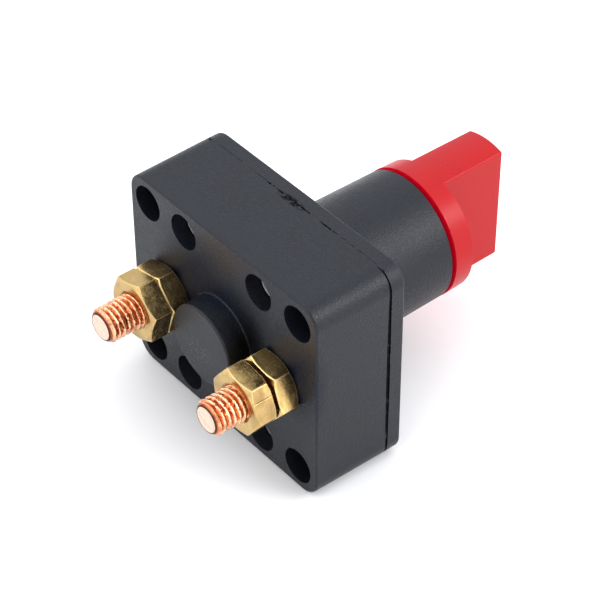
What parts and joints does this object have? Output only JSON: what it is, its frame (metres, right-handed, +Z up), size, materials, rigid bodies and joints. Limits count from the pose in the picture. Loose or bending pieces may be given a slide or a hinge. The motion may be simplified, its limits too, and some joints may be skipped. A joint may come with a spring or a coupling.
{
  "type": "battery disconnect switch",
  "caption": "Rotary battery disconnect switch: moulded block with threaded copper studs and brass nuts, a neck through the panel and a red bar knob that turns a quarter turn",
  "frame": {"origin": "on the knob's axis, in the front face that lies against the panel, at the centre of the four mounting holes", "axes": "-Y points out of the panel towards the knob, +Y towards the terminal studs, +X from the right stud to the left stud, +Z up with the switch lying on a long side of its block"},
  "size_m": [0.0608, 0.0912, 0.051],
  "materials": {
    "housing_plastic": "fine spark-eroded texture, charcoal",
    "knob_plastic": "satin, red",
    "copper": "bright copper plating on threads and heads",
    "nut_brass": "turned bright brass",
    "screw_steel": "zinc plated",
    "spring_steel": "bright spring steel",
    "tip_silver": "silver alloy contact",
    "rotor_plastic": "natural nylon",
    "seal_rubber": "black rubber"
  },
  "bodies": {
    "case": {"rear_housing": "housing_plastic", "front_cover": "housing_plastic", "left_stud": "copper", "right_stud": "copper", "left_base_nut": "nut_brass", "right_base_nut": "nut_brass", "left_terminal_nut": "nut_brass", "right_terminal_nut": "nut_brass", "left_fixed_tip": "tip_silver", "right_fixed_tip": "tip_silver", "case_screw_1": "screw_steel", "case_screw_2": "screw_steel", "case_screw_3": "screw_steel", "case_screw_4": "screw_steel", "upper_detent_leaf": "spring_steel", "lower_detent_leaf": "spring_steel", "thrust_washer": "rotor_plastic"},
    "spindle": {"knob": "knob_plastic", "knob_screw": "screw_steel", "rotor": "rotor_plastic", "contact_bridge": "copper", "upper_moving_tip": "tip_silver", "lower_moving_tip": "tip_silver", "contact_spring": "spring_steel", "shaft_seal": "seal_rubber"}
  },
  "joints": [
    {"name": "knob_turn", "type": "hinge", "parent": "case", "child": "spindle", "pos_m": [0, 0, 0], "axis": [0, 1, 0], "range_deg": [0, 90], "deforming": ["upper_detent_leaf", "lower_detent_leaf"]}
  ]
}
